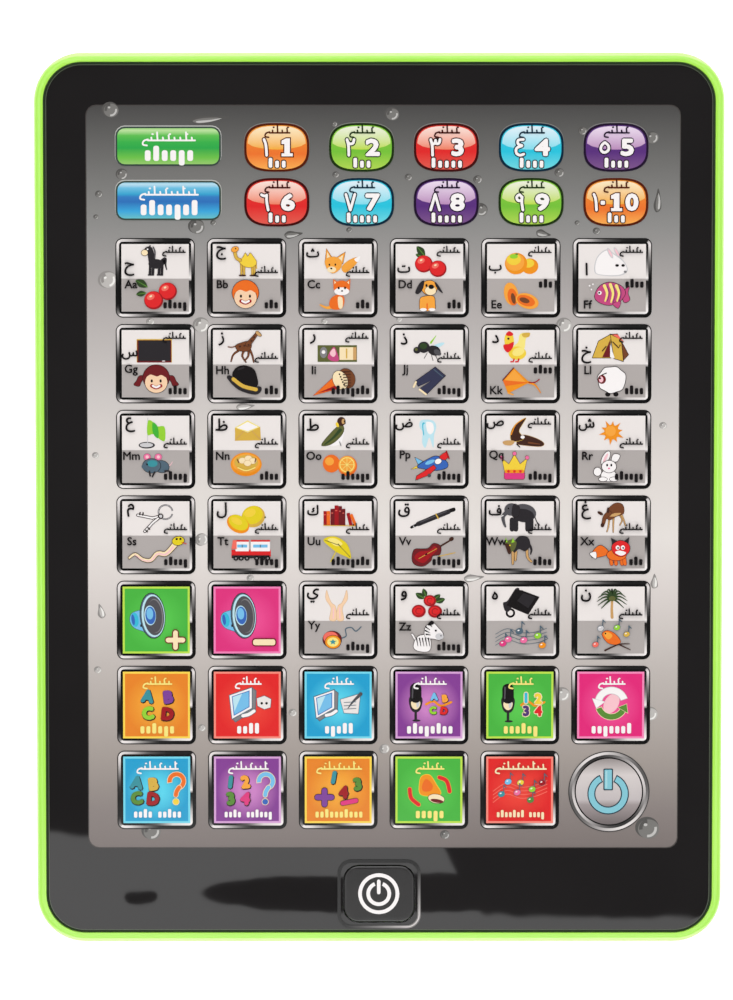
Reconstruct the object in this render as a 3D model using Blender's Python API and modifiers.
"""Kids toy tablet: a flat learning toy with a printed membrane keypad in a two-piece plastic case.

The tablet lies on its back: +Z points out of the keypad, +Y to the top edge, +X to the right.
The origin is the middle of the footprint, on the surface that the four moulded feet stand on.
"""
import math

import bmesh
import bpy
from mathutils import Matrix, Vector

MM = 0.001

# Case
CASE_W = 185.5 * MM
CASE_H = 240.0 * MM
CASE_TOP = 18.4 * MM
CORNER_R = 13.0 * MM
FOOT_H = 0.8 * MM
BACK_T = 2.0 * MM
BACK_INNER = FOOT_H + BACK_T
BACK_EDGE_R = 4.0 * MM
REAR_WALL = 2.0 * MM
RIM_WALL = 2.6 * MM
RIM_EDGE_R = 1.8 * MM
PARTING_Z = 9.2 * MM
PARTING_GAP = 0.3 * MM
TONGUE_T = 1.0 * MM
TONGUE_BOTTOM = 8.0 * MM
CORNER_STEPS = 12
EDGE_STEPS = 5
SHARP_ANGLE = math.radians(35)
PAST = 2.0 * MM

# Recessed deck that carries the keypad
DECK_TOP = 16.4 * MM
DECK_UNDER = 14.6 * MM

# Keypad sheets, from the deck up
SHEET_INSET = 3.0 * MM
SHEET_GAP = 0.05 * MM
MEMBRANE_T = 0.2 * MM
OVERLAY_T = 0.5 * MM
OVERLAY_EDGE_R = 0.25 * MM

# Key layout
KEY_FIRST = (-60.5 * MM, 59.4 * MM)
KEY_PITCH = (24.65 * MM, 23.12 * MM)
KEY_COLUMNS = 6
KEY_ROWS = 7
NUMBER_FIRST = (-27.65 * MM, 94.4 * MM)
NUMBER_PITCH = (22.83 * MM, 14.7 * MM)
LANGUAGE_X = -56.8 * MM
SQUARE_KEY_HOLE_R = 5.0 * MM
SMALL_KEY_HOLE_R = 3.6 * MM

# Home button and its switch
HOME_XY = (0.0, -106.9 * MM)
HOME_SIZE = (19.1 * MM, 15.3 * MM)
HOME_CORNER_R = 4.0 * MM
HOME_TOP = 17.9 * MM
HOME_EDGE_R = 0.6 * MM
HOME_FLANGE = 2.0 * MM
HOME_FLANGE_Z = (13.1 * MM, 14.3 * MM)
HOME_STEM_R = 2.4 * MM
HOME_CLEARANCE = 0.3 * MM
SWITCH_SIZE = 6.0 * MM
SWITCH_TOP = 12.0 * MM
SWITCH_WELL_FLOOR = 9.7 * MM
SWITCH_WELL_R = 1.95 * MM
PLUNGER_R = 1.75 * MM
PLUNGER_Z = (10.4 * MM, 12.6 * MM)

# Circuit board
BOARD_X = 68.0 * MM
BOARD_Y = (-113.5 * MM, -73.5 * MM)
BOARD_Z = (6.9 * MM, 8.5 * MM)
BOARD_MOUNTS = [(x * MM, y * MM) for x in (-30, 30) for y in (-110, -77)]
BOARD_HOLE_R = 1.4 * MM
COMPONENT_GAP = 0.1 * MM

# Membrane tail and its clamp
TAIL_W = 20.0 * MM
TAIL_Y = -92.3 * MM
TAIL_END_Y = -79.5 * MM
TAIL_SLOT_HALF = 0.9 * MM
CLAMP_Y = -81.0 * MM
CLAMP_Z = (8.95 * MM, 11.4 * MM)
CLAMP_SCREW_X = 13.5 * MM
CLAMP_HALF = (17.0 * MM, 2.0 * MM)
CLAMP_HOLE_R = 1.3 * MM

# Speaker
SPEAKER_XY = (0.0, -25.0 * MM)
SPEAKER_R = 20.0 * MM
SPEAKER_SCREW_RING = 22.9 * MM
GRILLE_R = 15.5 * MM
GRILLE_SLOT = 2.0 * MM
GRILLE_PITCH = 4.0 * MM
SEAT_RING = (20.5, 21.7, 4.2)
SPEAKER_POST_R = 2.3 * MM
SPEAKER_POST_TOP = 4.3 * MM
SPEAKER_PILOT_BOTTOM = 1.6 * MM
SPEAKER_SCREW_SEAT = 4.6 * MM

# Battery compartment, three AAA cells side by side
BAY_Y = 48.0 * MM
BAY_HALF = (26.0 * MM, 17.5 * MM)
BAY_WALL = 2.0 * MM
BAY_CORNER_R = 1.5 * MM
BAY_ROOF = (13.55 * MM, 14.3 * MM)
LEDGE_Z = 2.6 * MM
DOOR_HALF = (27.0 * MM, 18.5 * MM)
DOOR_TOP = 2.5 * MM
DOOR_CORNER_R = 2.0 * MM
DOOR_GAP = 0.3 * MM
DOOR_LUG_R = 4.5 * MM
DOOR_SCREW_Y = BAY_Y - 20.5 * MM
DOOR_BOSS_TOP = 8.0 * MM
DOOR_PILOT_TOP = 7.0 * MM
DOOR_WELL_R = 2.9 * MM
DOOR_TAB_X = 16.0 * MM
DOOR_TAB_W = 7.0 * MM
DOOR_TAB_Z = (2.95 * MM, 4.1 * MM)
DOOR_TAB_ROOT = (BAY_Y + 16.3 * MM, BAY_Y + 17.3 * MM)
DOOR_TAB_TIP = BAY_Y + 20.2 * MM
TAB_SLOT_TOP = 4.8 * MM
TAB_SLOT_DEPTH = 3.6 * MM
TAG_SLOT_Z = 11.9 * MM
TAG_SLOT = (3.0 * MM, 1.4 * MM)
TAG_END = 29.0 * MM
DOOR_PIVOT = (0.0, BAY_Y + DOOR_HALF[1], FOOT_H)
CELL_L = 44.5 * MM
CELL_PITCH = 11.3 * MM
CELL_Z = 8.2 * MM
PLATE_X = 25.3 * MM
PLATE_T = 0.4 * MM
PLATE_SIDE = 9.0 * MM
SPRING_WIRE_R = 0.3 * MM
SPRING_TURNS = 3
SPRING_BASE_R = 3.6 * MM
SPRING_TIP_R = 2.2 * MM

# Case screws, their wells in the back and their posts; feet
CASE_SCREWS = [(x * MM, y * MM) for x in (-82, 82) for y in (-109.5, 109.5)]
CASE_SCREWS += [(-84 * MM, 0.0), (84 * MM, 0.0)]
WELL_R = 3.0 * MM
WELL_TOP = 6.2 * MM
POST_R = 4.2 * MM
POST_TOP = 8.0 * MM
POST_HOLE_R = 1.5 * MM
BOSS_R = 3.2 * MM
BOARD_BOSS_R = 2.6 * MM
PILOT_R = 1.4 * MM
BOARD_PILOT_R = 1.25 * MM
PILOT_TOP = 13.6 * MM
FEET = [(x * MM, y * MM) for x in (-72, 72) for y in (-98, 98)]
FOOT_R = 5.0 * MM
SCREW_SIDES = 12

# Cross recess, as shares of the screw head's radius and height
CROSS_ARM = 0.62
CROSS_HALF = 0.17
CROSS_DEPTH = 0.55

# Colours as linear RGB
LIME = (0.44, 0.91, 0.11)
BLACK = (0.012, 0.012, 0.012)
CLEAR_FILM = (0.75, 0.78, 0.76)
STEEL = (0.60, 0.60, 0.58)
BOARD_GREEN = (0.02, 0.16, 0.05)


def clear_scene():
    for obj in list(bpy.data.objects):
        bpy.data.objects.remove(obj, do_unlink=True)


def new_collection(name):
    collection = bpy.data.collections.new(name)
    bpy.context.scene.collection.children.link(collection)
    return collection


def paint(obj, colour, roughness=0.5, metallic=0.0):
    """Give an object its own Principled material."""
    material = bpy.data.materials.new(obj.name + "_material")
    material.use_nodes = True
    shader = material.node_tree.nodes["Principled BSDF"]
    shader.inputs["Base Color"].default_value = (*colour, 1.0)
    shader.inputs["Roughness"].default_value = roughness
    shader.inputs["Metallic"].default_value = metallic
    obj.data.materials.clear()
    obj.data.materials.append(material)
    return obj


def object_from_bmesh(name, bm, collection, smooth=False):
    bmesh.ops.recalc_face_normals(bm, faces=bm.faces[:])
    mesh = bpy.data.meshes.new(name)
    bm.to_mesh(mesh)
    bm.free()
    if smooth:
        mesh.shade_smooth()
        mesh.set_sharp_from_angle(angle=SHARP_ANGLE)
    obj = bpy.data.objects.new(name, mesh)
    collection.objects.link(obj)
    if collection is CUTTERS:
        obj.hide_render = True
        obj.display_type = "WIRE"
    return obj


def add_box(bm, centre, size):
    matrix = Matrix.Translation(centre) @ Matrix.Diagonal((*size, 1.0))
    return bmesh.ops.create_cube(bm, size=1.0, matrix=matrix)["verts"]


def add_cylinder(bm, xy, radius, bottom, top, sides=16):
    matrix = Matrix.Translation((xy[0], xy[1], (bottom + top) / 2))
    bmesh.ops.create_cone(bm, cap_ends=True, segments=sides, radius1=radius, radius2=radius,
                          depth=top - bottom, matrix=matrix)


def box(name, low, high, collection):
    """A plain box between two corners."""
    bm = bmesh.new()
    centre = [(a + b) / 2 for a, b in zip(low, high)]
    size = [b - a for a, b in zip(low, high)]
    add_box(bm, centre, size)
    return object_from_bmesh(name, bm, collection)


def cylinders(name, places, radius, bottom, top, collection, sides=16):
    """One mesh of equal upright cylinders, one at each place."""
    bm = bmesh.new()
    for place in places:
        add_cylinder(bm, place, radius, bottom, top, sides)
    return object_from_bmesh(name, bm, collection, smooth=collection is PARTS)


def rounded_block(name, size, corner, bottom, top, collection, centre=(0.0, 0.0),
                  top_edge=0.0, bottom_edge=0.0, steps=CORNER_STEPS):
    """A block with round upright corners and, where asked, a rounded top or bottom edge."""
    bm = bmesh.new()
    middle = (centre[0], centre[1], (bottom + top) / 2)
    add_box(bm, middle, (size[0], size[1], top - bottom))
    uprights = [e for e in bm.edges if abs(e.verts[0].co.z - e.verts[1].co.z) > MM / 10]
    bmesh.ops.bevel(bm, geom=uprights, offset=corner, segments=steps, profile=0.5,
                    affect="EDGES", clamp_overlap=False)
    for height, radius in ((top, top_edge), (bottom, bottom_edge)):
        if radius:
            rim = [e for e in bm.edges if all(abs(v.co.z - height) < MM / 100 for v in e.verts)]
            bmesh.ops.bevel(bm, geom=rim, offset=radius, segments=EDGE_STEPS, profile=0.5,
                            affect="EDGES")
    return object_from_bmesh(name, bm, collection)


def case_block(name, inset, bottom, top, collection, **edges):
    """A block with the case's outline, moved in by inset all round."""
    size = (CASE_W - 2 * inset, CASE_H - 2 * inset)
    return rounded_block(name, size, CORNER_R - inset, bottom, top, collection, **edges)


def turned(name, profile, collection, steps=20, matrix=None):
    """A turned piece: a profile of (radius, height) points, spun once about Z."""
    bm = bmesh.new()
    verts = [bm.verts.new((radius, 0.0, height)) for radius, height in profile]
    edges = [bm.edges.new(pair) for pair in zip(verts, verts[1:])]
    if min(radius for radius, height in profile) > 0:
        edges.append(bm.edges.new((verts[-1], verts[0])))
    bmesh.ops.spin(bm, geom=verts + edges, cent=(0.0, 0.0, 0.0), axis=(0.0, 0.0, 1.0),
                   angle=math.tau, steps=steps, use_merge=False)
    bmesh.ops.remove_doubles(bm, verts=bm.verts[:], dist=MM / 1000)
    obj = object_from_bmesh(name, bm, collection, smooth=collection is PARTS)
    if matrix:
        obj.matrix_world = matrix
    return obj


def mesh_from_curve(curve, name, collection):
    """Turn a curve into a welded mesh object."""
    source = bpy.data.objects.new(name + "_curve", curve)
    collection.objects.link(source)
    bpy.context.view_layer.update()
    evaluated = source.evaluated_get(bpy.context.evaluated_depsgraph_get())
    mesh = bpy.data.meshes.new_from_object(evaluated)
    bpy.data.objects.remove(source, do_unlink=True)
    bm = bmesh.new()
    bm.from_mesh(mesh)
    bpy.data.meshes.remove(mesh)
    bmesh.ops.remove_doubles(bm, verts=bm.verts[:], dist=MM / 1000)
    return object_from_bmesh(name, bm, collection, smooth=curve.dimensions == "3D")


def flat_piece(name, outlines, bottom, top, collection):
    """A flat sheet from its outline, with holes where further outlines lie inside the first."""
    curve = bpy.data.curves.new(name, "CURVE")
    curve.dimensions = "2D"
    curve.fill_mode = "BOTH"
    curve.extrude = (top - bottom) / 2
    for outline in outlines:
        spline = curve.splines.new("POLY")
        spline.points.add(len(outline) - 1)
        for point, (x, y) in zip(spline.points, outline):
            point.co = (x, y, 0.0, 1.0)
        spline.use_cyclic_u = True
    obj = mesh_from_curve(curve, name, collection)
    obj.data.transform(Matrix.Translation((0.0, 0.0, (bottom + top) / 2)))
    return obj


def wire(name, points, radius, collection):
    """A round wire along a smooth curve through its points."""
    route = smooth_route([Vector(point) * MM for point in points])
    curve = bpy.data.curves.new(name, "CURVE")
    curve.dimensions = "3D"
    curve.bevel_depth = radius
    curve.bevel_resolution = 2
    curve.use_fill_caps = True
    spline = curve.splines.new("POLY")
    spline.points.add(len(route) - 1)
    for point, place in zip(spline.points, route):
        point.co = (*place, 1.0)
    return mesh_from_curve(curve, name, collection)


def smooth_route(points, steps=3):
    """Catmull-Rom points through a route's own points."""
    ends = [points[0] * 2 - points[1]] + points + [points[-1] * 2 - points[-2]]
    route = []
    for i in range(1, len(ends) - 2):
        before, start, end, after = ends[i - 1:i + 3]
        for step in range(steps):
            t = step / steps
            bend = (2 * before - 5 * start + 4 * end - after) * t * t
            twist = (3 * start - before - 3 * end + after) * t * t * t
            route.append((2 * start + (end - before) * t + bend + twist) / 2)
    return route + [points[-1]]


def rounded_outline(size, corner, centre=(0.0, 0.0), steps=CORNER_STEPS):
    points = []
    for turn, (sx, sy) in enumerate(((1, 1), (-1, 1), (-1, -1), (1, -1))):
        x = centre[0] + sx * (size[0] / 2 - corner)
        y = centre[1] + sy * (size[1] / 2 - corner)
        for step in range(steps + 1):
            angle = math.radians(90) * (turn + step / steps)
            points.append((x + corner * math.cos(angle), y + corner * math.sin(angle)))
    return points


def round_outline(centre, radius, sides=6):
    angles = [math.tau * (i + 0.5) / sides for i in range(sides)]
    return [(centre[0] + radius * math.cos(a), centre[1] + radius * math.sin(a)) for a in angles]


def boolean(obj, other, operation):
    modifier = obj.modifiers.new(operation.lower() + "_" + other.name, "BOOLEAN")
    modifier.operation = operation
    modifier.solver = "EXACT"
    modifier.object = other


def join(obj, other):
    boolean(obj, other, "UNION")


def cut(obj, other):
    boolean(obj, other, "DIFFERENCE")


def home_cutout(grow=HOME_CLEARANCE):
    size = (HOME_SIZE[0] + 2 * grow, HOME_SIZE[1] + 2 * grow)
    return size, HOME_CORNER_R + grow


def make_front_case():
    """Rim, side wall and the deck under the keypad, with its screw bosses, in one moulding."""
    case = case_block("front_case", 0.0, PARTING_Z + PARTING_GAP / 2, CASE_TOP, PARTS,
                      top_edge=RIM_EDGE_R)
    tongue_inset = REAR_WALL + PARTING_GAP
    cavity_inset = tongue_inset + TONGUE_T
    join(case, case_block("front_tongue", tongue_inset, TONGUE_BOTTOM, PARTING_Z + MM, CUTTERS))
    cut(case, case_block("front_cavity", cavity_inset, TONGUE_BOTTOM - PAST, DECK_UNDER, CUTTERS))
    cut(case, case_block("front_recess", RIM_WALL, DECK_TOP, CASE_TOP + PAST, CUTTERS))
    boss_bottom = POST_TOP + PARTING_GAP
    board_boss_bottom = BOARD_Z[1] + PARTING_GAP
    deck_middle = (DECK_TOP + DECK_UNDER) / 2
    join(case, cylinders("front_bosses", CASE_SCREWS, BOSS_R, boss_bottom, deck_middle, CUTTERS))
    join(case, cylinders("board_bosses", BOARD_MOUNTS, BOARD_BOSS_R, board_boss_bottom, deck_middle,
                         CUTTERS, sides=12))
    cut(case, cylinders("front_pilots", CASE_SCREWS, PILOT_R, boss_bottom - PAST, PILOT_TOP,
                        CUTTERS, sides=10))
    cut(case, cylinders("board_pilots", BOARD_MOUNTS, BOARD_PILOT_R, board_boss_bottom - PAST,
                        PILOT_TOP, CUTTERS, sides=10))
    size, corner = home_cutout()
    cut(case, rounded_block("home_opening", size, corner, DECK_UNDER - MM, CASE_TOP, CUTTERS,
                            centre=HOME_XY, steps=4))
    slot_low = (-TAIL_W / 2 - MM, TAIL_Y - TAIL_SLOT_HALF, DECK_UNDER - MM)
    slot_high = (TAIL_W / 2 + MM, TAIL_Y + TAIL_SLOT_HALF, DECK_TOP + MM)
    cut(case, box("tail_slot", slot_low, slot_high, CUTTERS))
    paint(case, LIME, roughness=0.28)


def make_rear_case():
    """Back shell with feet, screw wells, speaker seat and battery compartment."""
    case = case_block("rear_case", 0.0, FOOT_H, PARTING_Z - PARTING_GAP / 2, PARTS,
                      bottom_edge=BACK_EDGE_R)
    cut(case, case_block("rear_cavity", REAR_WALL, BACK_INNER, PARTING_Z + PAST, CUTTERS,
                         bottom_edge=BACK_EDGE_R - REAR_WALL))
    back_middle = FOOT_H + BACK_T / 2
    join(case, cylinders("rear_posts", CASE_SCREWS, POST_R, back_middle, POST_TOP, CUTTERS))
    join(case, cylinders("feet", FEET, FOOT_R, 0.0, back_middle, CUTTERS, sides=24))
    join_bay(case, back_middle)
    join_speaker_seat(case, back_middle)
    cut(case, cylinders("rear_wells", CASE_SCREWS, WELL_R, -PAST, WELL_TOP, CUTTERS))
    cut(case, cylinders("rear_screw_holes", CASE_SCREWS, POST_HOLE_R, WELL_TOP - MM,
                        POST_TOP + PAST, CUTTERS, sides=10))
    cut_bay(case)
    cut_grille(case)
    paint(case, LIME, roughness=0.32)


def join_bay(case, back_middle):
    """Walls and roof round the cells, and the boss for the door's screw."""
    size = (2 * (BAY_HALF[0] + BAY_WALL), 2 * (BAY_HALF[1] + BAY_WALL))
    join(case, rounded_block("bay_walls", size, BAY_CORNER_R, back_middle, BAY_ROOF[1], CUTTERS,
                             centre=(0.0, BAY_Y), steps=2))
    join(case, cylinders("door_boss", [(0.0, DOOR_SCREW_Y)], DOOR_LUG_R + MM, back_middle,
                         DOOR_BOSS_TOP, CUTTERS, sides=20))


def cut_bay(case):
    """Room for the cells, the door's recess, its tab slots, its pilot and the contact slots."""
    size = (2 * BAY_HALF[0], 2 * BAY_HALF[1])
    cut(case, rounded_block("bay_room", size, MM, -PAST, BAY_ROOF[0], CUTTERS,
                            centre=(0.0, BAY_Y), steps=2))
    recess = (2 * (DOOR_HALF[0] + DOOR_GAP), 2 * (DOOR_HALF[1] + DOOR_GAP))
    cut(case, rounded_block("door_recess", recess, DOOR_CORNER_R + DOOR_GAP, -PAST, LEDGE_Z, CUTTERS,
                            centre=(0.0, BAY_Y), steps=3))
    lug = [(0.0, DOOR_SCREW_Y)]
    cut(case, cylinders("lug_recess", lug, DOOR_LUG_R + DOOR_GAP, -PAST, LEDGE_Z, CUTTERS, sides=20))
    cut(case, cylinders("door_pilot", lug, PILOT_R, LEDGE_Z - MM, DOOR_PILOT_TOP, CUTTERS, sides=10))
    bm = bmesh.new()
    wall_y = BAY_Y + BAY_HALF[1]
    for side in (-1, 1):
        centre = (side * DOOR_TAB_X, wall_y + TAB_SLOT_DEPTH / 2 - MM / 2, (LEDGE_Z + TAB_SLOT_TOP) / 2)
        add_box(bm, centre, (DOOR_TAB_W + MM, TAB_SLOT_DEPTH, TAB_SLOT_TOP - LEDGE_Z))
    for side, cell in ((1, 0), (-1, 2)):
        centre = (side * (BAY_HALF[0] + BAY_WALL / 2), cell_y(cell), TAG_SLOT_Z)
        add_box(bm, centre, (BAY_WALL + MM, *TAG_SLOT))
    cut(case, object_from_bmesh("bay_slots", bm, CUTTERS))


def join_speaker_seat(case, back_middle):
    """A low ring that centres the speaker, and three posts for its screws."""
    inner, outer, top = SEAT_RING
    bottom = back_middle / MM
    ring = [(inner, top), (outer, top), (outer, bottom), (inner, bottom)]
    place = Matrix.Translation((*SPEAKER_XY, 0.0))
    join(case, turned("speaker_ring", millimetres(ring), CUTTERS, steps=28, matrix=place))
    join(case, cylinders("speaker_posts", speaker_screw_places(), SPEAKER_POST_R, back_middle,
                         SPEAKER_POST_TOP, CUTTERS, sides=12))
    cut(case, cylinders("speaker_pilots", speaker_screw_places(), BOARD_PILOT_R, SPEAKER_PILOT_BOTTOM,
                        SPEAKER_POST_TOP + PAST, CUTTERS, sides=10))


def cut_grille(case):
    """Sound slots whose lengths follow a circle."""
    bm = bmesh.new()
    rows = int(GRILLE_R // GRILLE_PITCH)
    for row in range(-rows, rows + 1):
        y = row * GRILLE_PITCH
        half = math.sqrt(GRILLE_R ** 2 - y ** 2)
        centre = (SPEAKER_XY[0], SPEAKER_XY[1] + y, FOOT_H + BACK_T / 2)
        add_box(bm, centre, (2 * half, GRILLE_SLOT, BACK_T + 2 * MM))
    cut(case, object_from_bmesh("grille_slots", bm, CUTTERS))


def millimetres(profile):
    return [(radius * MM, height * MM) for radius, height in profile]


def speaker_screw_places():
    angles = [math.radians(a) for a in (90, 210, 330)]
    ring = SPEAKER_SCREW_RING
    return [(SPEAKER_XY[0] + ring * math.cos(a), SPEAKER_XY[1] + ring * math.sin(a))
            for a in angles]


def cell_y(index):
    return BAY_Y + (index - 1) * CELL_PITCH


def sheet_levels():
    """Bottom and top of the lower membrane, spacer, upper membrane and overlay."""
    levels = []
    bottom = DECK_TOP + SHEET_GAP
    for thickness in (MEMBRANE_T, MEMBRANE_T, MEMBRANE_T, OVERLAY_T):
        levels.append((bottom, bottom + thickness))
        bottom += thickness + SHEET_GAP
    return levels


def sheet_outlines():
    size = (CASE_W - 2 * SHEET_INSET, CASE_H - 2 * SHEET_INSET)
    hole, corner = home_cutout()
    return [rounded_outline(size, CORNER_R - SHEET_INSET),
            rounded_outline(hole, corner, centre=HOME_XY, steps=4)]


def key_hole_outlines():
    """A hole in the spacer under each key, so that the two contact layers can meet."""
    holes = []
    for row in range(KEY_ROWS):
        for column in range(KEY_COLUMNS):
            centre = (KEY_FIRST[0] + column * KEY_PITCH[0], KEY_FIRST[1] - row * KEY_PITCH[1])
            holes.append(round_outline(centre, SQUARE_KEY_HOLE_R))
    for row in range(2):
        y = NUMBER_FIRST[1] - row * NUMBER_PITCH[1]
        holes.append(round_outline((LANGUAGE_X, y), SMALL_KEY_HOLE_R))
        for column in range(5):
            centre = (NUMBER_FIRST[0] + column * NUMBER_PITCH[0], y)
            holes.append(round_outline(centre, SMALL_KEY_HOLE_R))
    return holes


def make_keypad():
    """The printed overlay over a three-layer membrane switch."""
    lower, spacer, upper, overlay = sheet_levels()
    sheet = flat_piece("membrane_lower_sheet", sheet_outlines(), *lower, PARTS)
    join(sheet, make_tail(lower))
    paint(sheet, CLEAR_FILM, roughness=0.25)
    sheet = flat_piece("membrane_spacer", sheet_outlines() + key_hole_outlines(), *spacer, PARTS)
    paint(sheet, (0.80, 0.80, 0.76), roughness=0.4)
    sheet = flat_piece("membrane_upper_sheet", sheet_outlines(), *upper, PARTS)
    paint(sheet, CLEAR_FILM, roughness=0.25)
    sheet = case_block("graphic_overlay", SHEET_INSET, *overlay, PARTS, top_edge=OVERLAY_EDGE_R)
    size, corner = home_cutout()
    cut(sheet, rounded_block("overlay_opening", size, corner, DECK_TOP, CASE_TOP, CUTTERS,
                             centre=HOME_XY, steps=4))
    paint(sheet, BLACK, roughness=0.12)


def make_tail(sheet_z):
    """The ribbon that runs down through the deck's slot and along the board."""
    half = MEMBRANE_T / 2
    middle = sum(sheet_z) / 2
    run_z = BOARD_Z[1] + COMPONENT_GAP + half
    bend = 1.0 * MM
    corner = math.sqrt(0.5) * bend
    centre_line = [(TAIL_Y, middle), (TAIL_Y, run_z + bend),
                   (TAIL_Y + bend - corner, run_z + bend - corner),
                   (TAIL_Y + bend, run_z), (TAIL_END_Y, run_z)]
    bm = bmesh.new()
    verts = [bm.verts.new((-TAIL_W / 2, y, z)) for y, z in centre_line]
    strip = [bm.edges.new(pair) for pair in zip(verts, verts[1:])]
    side = bmesh.ops.extrude_edge_only(bm, edges=strip)["geom"]
    moved = [v for v in side if isinstance(v, bmesh.types.BMVert)]
    bmesh.ops.translate(bm, verts=moved, vec=(TAIL_W, 0.0, 0.0))
    ribbon = object_from_bmesh("membrane_tail", bm, CUTTERS)
    solidify = ribbon.modifiers.new("thickness", "SOLIDIFY")
    solidify.thickness = MEMBRANE_T
    solidify.offset = 0.0
    solidify.use_even_offset = True
    return ribbon


def make_home_button():
    """Flanged cap held under the deck, with the switch that it presses."""
    cap = rounded_block("home_button", HOME_SIZE, HOME_CORNER_R, HOME_FLANGE_Z[0] + MM / 2,
                        HOME_TOP, PARTS, centre=HOME_XY, top_edge=HOME_EDGE_R, steps=8)
    flange = (HOME_SIZE[0] + 2 * HOME_FLANGE, HOME_SIZE[1] + 2 * HOME_FLANGE)
    join(cap, rounded_block("home_flange", flange, HOME_CORNER_R, *HOME_FLANGE_Z, CUTTERS,
                            centre=HOME_XY, steps=3))
    join(cap, cylinders("home_stem", [HOME_XY], HOME_STEM_R, PLUNGER_Z[1] + COMPONENT_GAP,
                        HOME_FLANGE_Z[0] + MM / 2, CUTTERS, sides=12))
    set_origin(cap, (*HOME_XY, HOME_TOP))
    paint(cap, BLACK, roughness=0.15)

    bottom = BOARD_Z[1] + COMPONENT_GAP
    half = SWITCH_SIZE / 2
    low = (HOME_XY[0] - half, HOME_XY[1] - half, bottom)
    high = (HOME_XY[0] + half, HOME_XY[1] + half, SWITCH_TOP)
    body = box("home_switch_body", low, high, PARTS)
    cut(body, cylinders("switch_well", [HOME_XY], SWITCH_WELL_R, SWITCH_WELL_FLOOR,
                        SWITCH_TOP + PAST, CUTTERS))
    paint(body, (0.03, 0.03, 0.03), roughness=0.5)
    plunger = cylinders("home_switch_plunger", [HOME_XY], PLUNGER_R, *PLUNGER_Z, PARTS)
    set_origin(plunger, (*HOME_XY, PLUNGER_Z[1]))
    paint(plunger, (0.05, 0.05, 0.05), roughness=0.4)


def set_origin(obj, place):
    """Move an object's origin without moving its shape."""
    obj.data.transform(Matrix.Translation(-Vector(place)))
    obj.location = place


def make_board():
    """Circuit board with its chips and capacitor."""
    board = box("main_board", (-BOARD_X / 2, BOARD_Y[0], BOARD_Z[0]),
                (BOARD_X / 2, BOARD_Y[1], BOARD_Z[1]), PARTS)
    clamp_holes = [(side * CLAMP_SCREW_X, CLAMP_Y) for side in (-1, 1)]
    cut(board, cylinders("board_holes", BOARD_MOUNTS + clamp_holes, BOARD_HOLE_R, BOARD_Z[0] - MM,
                         BOARD_Z[1] + MM, CUTTERS, sides=12))
    paint(board, BOARD_GREEN, roughness=0.45)
    bottom = (BOARD_Z[1] + COMPONENT_GAP) / MM
    blob = [(0, bottom + 1.5), (2.6, bottom + 1.35), (4.8, bottom + 0.8), (5.8, bottom), (0, bottom)]
    chip = turned("sound_chip_blob", millimetres(blob), PARTS, steps=16,
                  matrix=Matrix.Translation((-18 * MM, -93 * MM, 0.0)))
    paint(chip, BLACK, roughness=0.3)
    low = (13.5 * MM, -96.0 * MM, bottom * MM)
    chip = box("amplifier_chip", low, (18.5 * MM, -92.0 * MM, low[2] + 1.5 * MM), PARTS)
    paint(chip, BLACK, roughness=0.55)
    can = cylinders("filter_capacitor", [(24 * MM, -100 * MM)], 2.5 * MM, low[2],
                    low[2] + 5.0 * MM, PARTS)
    paint(can, (0.04, 0.05, 0.12), roughness=0.35)


def make_tail_clamp():
    bar = box("tail_clamp_bar", (-CLAMP_HALF[0], CLAMP_Y - CLAMP_HALF[1], CLAMP_Z[0]),
              (CLAMP_HALF[0], CLAMP_Y + CLAMP_HALF[1], CLAMP_Z[1]), PARTS)
    places = [(side * CLAMP_SCREW_X, CLAMP_Y) for side in (-1, 1)]
    cut(bar, cylinders("clamp_holes", places, CLAMP_HOLE_R, CLAMP_Z[0] - MM, CLAMP_Z[1] + MM,
                       CUTTERS, sides=12))
    paint(bar, (0.75, 0.75, 0.72), roughness=0.5)
    for number, place in enumerate(places, 1):
        screw("tail_clamp_screw_%d" % number, place, CLAMP_Z[1] + COMPONENT_GAP, -1,
              core=0.95, head=2.1, head_height=1.1, length=6.0)


def screw(name, place, seat, points, core, head, head_height, length):
    """A pan-head screw whose head lies against seat and whose shank points up (1) or down (-1)."""
    profile = [(0, length), (core * 0.4, length), (core, length - 1.0), (core, 0), (head, 0),
               (head, -head_height * 0.55), (head - 0.45, -head_height), (0, -head_height)]
    matrix = Matrix.Translation((place[0], place[1], seat))
    if points < 0:
        matrix = matrix @ Matrix.Rotation(math.pi, 4, "X")
    obj = turned(name, millimetres(profile), PARTS, steps=SCREW_SIDES, matrix=matrix)
    cut(obj, cross_recess(name + "_recess", matrix, head * MM, head_height * MM))
    paint(obj, STEEL, roughness=0.35, metallic=1.0)
    return obj


def cross_recess(name, matrix, head, head_height):
    """The cross that a screwdriver fits, as a cutter that starts beyond the head's face."""
    arm = head * CROSS_ARM
    half = head * CROSS_HALF
    corners = [(arm, half), (half, half), (half, arm), (-half, arm), (-half, half), (-arm, half),
               (-arm, -half), (-half, -half), (-half, -arm), (half, -arm), (half, -half), (arm, -half)]
    bm = bmesh.new()
    face = bm.faces.new([bm.verts.new((x, y, -head_height - MM)) for x, y in corners])
    raised = bmesh.ops.extrude_face_region(bm, geom=[face])["geom"]
    moved = [v for v in raised if isinstance(v, bmesh.types.BMVert)]
    bmesh.ops.translate(bm, verts=moved, vec=(0.0, 0.0, MM + head_height * CROSS_DEPTH))
    cutter = object_from_bmesh(name, bm, CUTTERS)
    cutter.matrix_world = matrix
    return cutter


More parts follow.
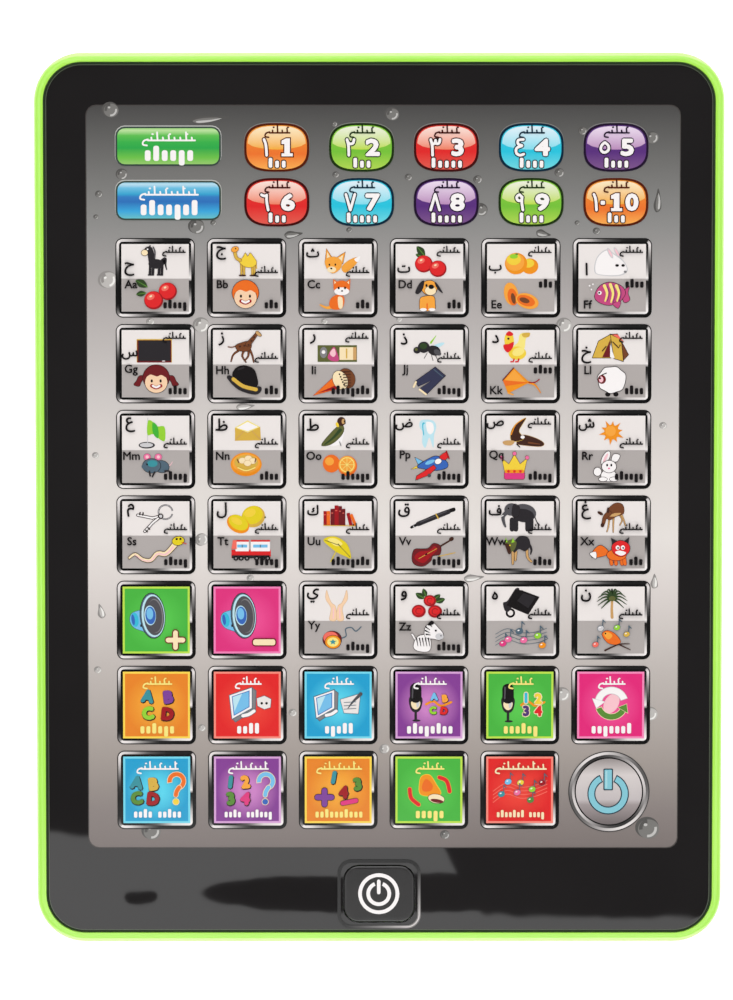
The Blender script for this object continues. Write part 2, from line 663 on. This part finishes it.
def make_case_screws():
    for number, place in enumerate(CASE_SCREWS, 1):
        screw("case_screw_%d" % number, place, WELL_TOP - COMPONENT_GAP, 1,
              core=1.15, head=2.6, head_height=1.8, length=7.0)
    for number, place in enumerate(BOARD_MOUNTS, 1):
        screw("board_screw_%d" % number, place, BOARD_Z[0] - COMPONENT_GAP, 1,
              core=1.0, head=2.2, head_height=1.4, length=6.2)


def make_speaker():
    """A thin 40 mm loudspeaker that faces the grille in the back."""
    place = Matrix.Translation((*SPEAKER_XY, 0.0))
    gasket = turned("speaker_gasket", millimetres([(17.3, 3.4), (20, 3.4), (20, 2.9), (17.3, 2.9)]),
                    PARTS, steps=24, matrix=place)
    paint(gasket, (0.03, 0.03, 0.03), roughness=0.95)
    basket = [(4.7, 9.8), (9.8, 9.8), (17.9, 4.5), (20, 4.5), (20, 3.5), (17, 3.5), (17, 4.3),
              (9.3, 9.0), (4.7, 9.0)]
    frame = turned("speaker_basket", millimetres(basket), PARTS, steps=20, matrix=place)
    paint(frame, STEEL, roughness=0.4, metallic=1.0)
    magnet = turned("speaker_magnet", millimetres([(4.7, 12.4), (9, 12.4), (9, 9.9), (4.7, 9.9)]),
                    PARTS, steps=20, matrix=place)
    paint(magnet, (0.05, 0.05, 0.05), roughness=0.6)
    yoke = [(0, 13.7), (9, 13.7), (9, 12.5), (2.6, 12.5), (2.6, 9.6), (0, 9.6)]
    pole = turned("speaker_yoke", millimetres(yoke), PARTS, steps=20, matrix=place)
    paint(pole, STEEL, roughness=0.4, metallic=1.0)
    former = [(3.4, 11.6), (3.9, 11.6), (4.0, 7.95)]
    paper_top = [(13.3, 4.35), (14.8, 3.85), (16.5, 3.95)]
    paper_under = [(16.5, 3.6), (14.8, 3.5), (13.2, 3.9), (5.0, 7.05)]
    dust_cap = [(2.8, 6.1), (0, 5.8)]
    inside = [(0, 6.2), (2.6, 6.5), (3.4, 6.75)]
    cone = turned("speaker_cone", millimetres(inside + former + paper_top + paper_under + dust_cap),
                  PARTS, steps=18, matrix=place)
    paint(cone, (0.08, 0.08, 0.085), roughness=0.85)
    for number, spot in enumerate(speaker_screw_places(), 1):
        screw("speaker_screw_%d" % number, spot, SPEAKER_SCREW_SEAT, -1, core=0.95, head=3.3,
              head_height=1.2, length=2.7)


def make_battery_door():
    """Flush door with two tabs on its upper edge and a lug for its screw on the lower one."""
    size = (2 * DOOR_HALF[0], 2 * DOOR_HALF[1])
    door = rounded_block("battery_door", size, DOOR_CORNER_R, FOOT_H, DOOR_TOP, PARTS,
                         centre=(0.0, BAY_Y), steps=3)
    lug = [(0.0, DOOR_SCREW_Y)]
    join(door, cylinders("door_lug", lug, DOOR_LUG_R, FOOT_H, DOOR_TOP, CUTTERS, sides=20))
    bm = bmesh.new()
    root = DOOR_TAB_ROOT
    for side in (-1, 1):
        x = side * DOOR_TAB_X
        foot = (DOOR_TOP - MM / 2 + DOOR_TAB_Z[0] + MM / 2) / 2
        add_box(bm, (x, sum(root) / 2, foot), (DOOR_TAB_W, root[1] - root[0],
                                               DOOR_TAB_Z[0] - DOOR_TOP + MM))
    feet = object_from_bmesh("door_tab_roots", bm, CUTTERS)
    bm = bmesh.new()
    for side in (-1, 1):
        centre = (side * DOOR_TAB_X, (root[0] + DOOR_TAB_TIP) / 2, sum(DOOR_TAB_Z) / 2)
        add_box(bm, centre, (DOOR_TAB_W, DOOR_TAB_TIP - root[0], DOOR_TAB_Z[1] - DOOR_TAB_Z[0]))
    tabs = object_from_bmesh("door_tabs", bm, CUTTERS)
    join(door, feet)
    join(door, tabs)
    cut(door, cylinders("door_screw_well", lug, DOOR_WELL_R, -PAST, FOOT_H + MM, CUTTERS))
    cut(door, cylinders("door_screw_hole", lug, PILOT_R, FOOT_H, DOOR_TOP + MM, CUTTERS, sides=10))
    set_origin(door, DOOR_PIVOT)
    paint(door, LIME, roughness=0.32)
    screw("battery_door_screw", lug[0], FOOT_H + 0.95 * MM, 1, core=0.95, head=2.5,
          head_height=0.9, length=4.15)


def make_cells():
    """Three AAA cells in series, end for end, with their springs and contact plates."""
    profile = [(0, 44.5), (1.9, 44.5), (1.9, 43.3), (4.9, 43.3), (5.25, 42.95), (5.25, 0.35),
               (4.9, 0), (0, 0)]
    for index in range(3):
        side = 1 if index % 2 == 0 else -1
        start = (-side * (CELL_L - PLATE_X + 0.2 * MM), cell_y(index), CELL_Z)
        matrix = Matrix.Translation(start) @ Matrix.Rotation(side * math.pi / 2, 4, "Y")
        cell = turned("battery_cell_%d" % (index + 1), millimetres(profile), PARTS, steps=16,
                      matrix=matrix)
        paint(cell, (0.02, 0.10, 0.03), roughness=0.3)
        make_spring(index, -side, start[0])
    make_plate("battery_contact_positive", 1, (0,), tag=True)
    make_plate("battery_bridge_left", -1, (0, 1))
    make_plate("battery_bridge_right", 1, (1, 2))
    make_plate("battery_contact_negative", -1, (2,), tag=True)


def make_spring(index, side, cell_end):
    """A conical coil between a contact plate and a cell's flat end."""
    base = side * (PLATE_X - SPRING_WIRE_R - COMPONENT_GAP)
    tip = cell_end + side * (SPRING_WIRE_R + COMPONENT_GAP)
    steps = int(SPRING_TURNS * 8)
    points = []
    for step in range(steps + 1):
        t = step / steps
        angle = math.tau * SPRING_TURNS * t
        radius = SPRING_BASE_R + (SPRING_TIP_R - SPRING_BASE_R) * t
        points.append((base + (tip - base) * t, cell_y(index) + radius * math.cos(angle),
                       CELL_Z + radius * math.sin(angle)))
    curve = bpy.data.curves.new("spring", "CURVE")
    curve.dimensions = "3D"
    curve.bevel_depth = SPRING_WIRE_R
    curve.bevel_resolution = 2
    curve.use_fill_caps = True
    spline = curve.splines.new("POLY")
    spline.points.add(len(points) - 1)
    for point, place in zip(spline.points, points):
        point.co = (*place, 1.0)
    spring = mesh_from_curve(curve, "battery_spring_%d" % (index + 1), PARTS)
    paint(spring, STEEL, roughness=0.25, metallic=1.0)


def make_plate(name, side, cells, tag=False):
    """A contact plate behind one or two cells; a tag reaches out through the wall for its wire."""
    half = PLATE_SIDE / 2
    near, far = sorted((side * PLATE_X, side * (PLATE_X + PLATE_T)))
    low = (near, cell_y(cells[0]) - half, CELL_Z - half)
    high = (far, cell_y(cells[-1]) + half, CELL_Z + half)
    plate = box(name, low, high, PARTS)
    if tag:
        y = cell_y(cells[0])
        near, far = sorted((side * PLATE_X, side * TAG_END))
        join(plate, box(name + "_tag", (near, y - MM, 11.7 * MM), (far, y + MM, 12.1 * MM), CUTTERS))
    paint(plate, STEEL, roughness=0.3, metallic=1.0)


def make_wires():
    """Battery leads and speaker leads, in millimetres from the origin."""
    red = (0.60, 0.02, 0.02)
    black = (0.015, 0.015, 0.015)
    routes = {
        "battery_wire_positive": (red, [(29.9, 36.7, 11.9), (34, 35, 11.2), (39, 22, 7.5), (40, 0, 5),
                                        (38, -28, 5), (33, -52, 7), (24, -66, 9.6), (21, -77, 9.3)]),
        "battery_wire_negative": (black, [(-29.9, 59.3, 11.9), (-35, 57, 11), (-40, 36, 7), (-41, 6, 5),
                                          (-38, -28, 5), (-33, -52, 7), (-24, -66, 9.6), (-21, -77, 9.3)]),
        "speaker_wire_positive": (red, [(5, -40.2, 7.6), (7, -45, 8.2), (10, -53, 6.5), (9, -64, 8.4),
                                        (7, -75.5, 9.3)]),
        "speaker_wire_negative": (black, [(-5, -40.2, 7.6), (-7, -45, 8.2), (-10, -54, 6.5),
                                          (-9, -65, 8.4), (-7, -75.5, 9.3)]),
    }
    for name, (colour, route) in routes.items():
        paint(wire(name, route, 0.6 * MM, PARTS), colour, roughness=0.45)


clear_scene()
PARTS = new_collection("kids_toy_tablet")
CUTTERS = new_collection("kids_toy_tablet_cutters")
make_front_case()
make_rear_case()
make_keypad()
make_home_button()
make_board()
make_tail_clamp()
make_case_screws()
make_speaker()
make_battery_door()
make_cells()
make_wires()
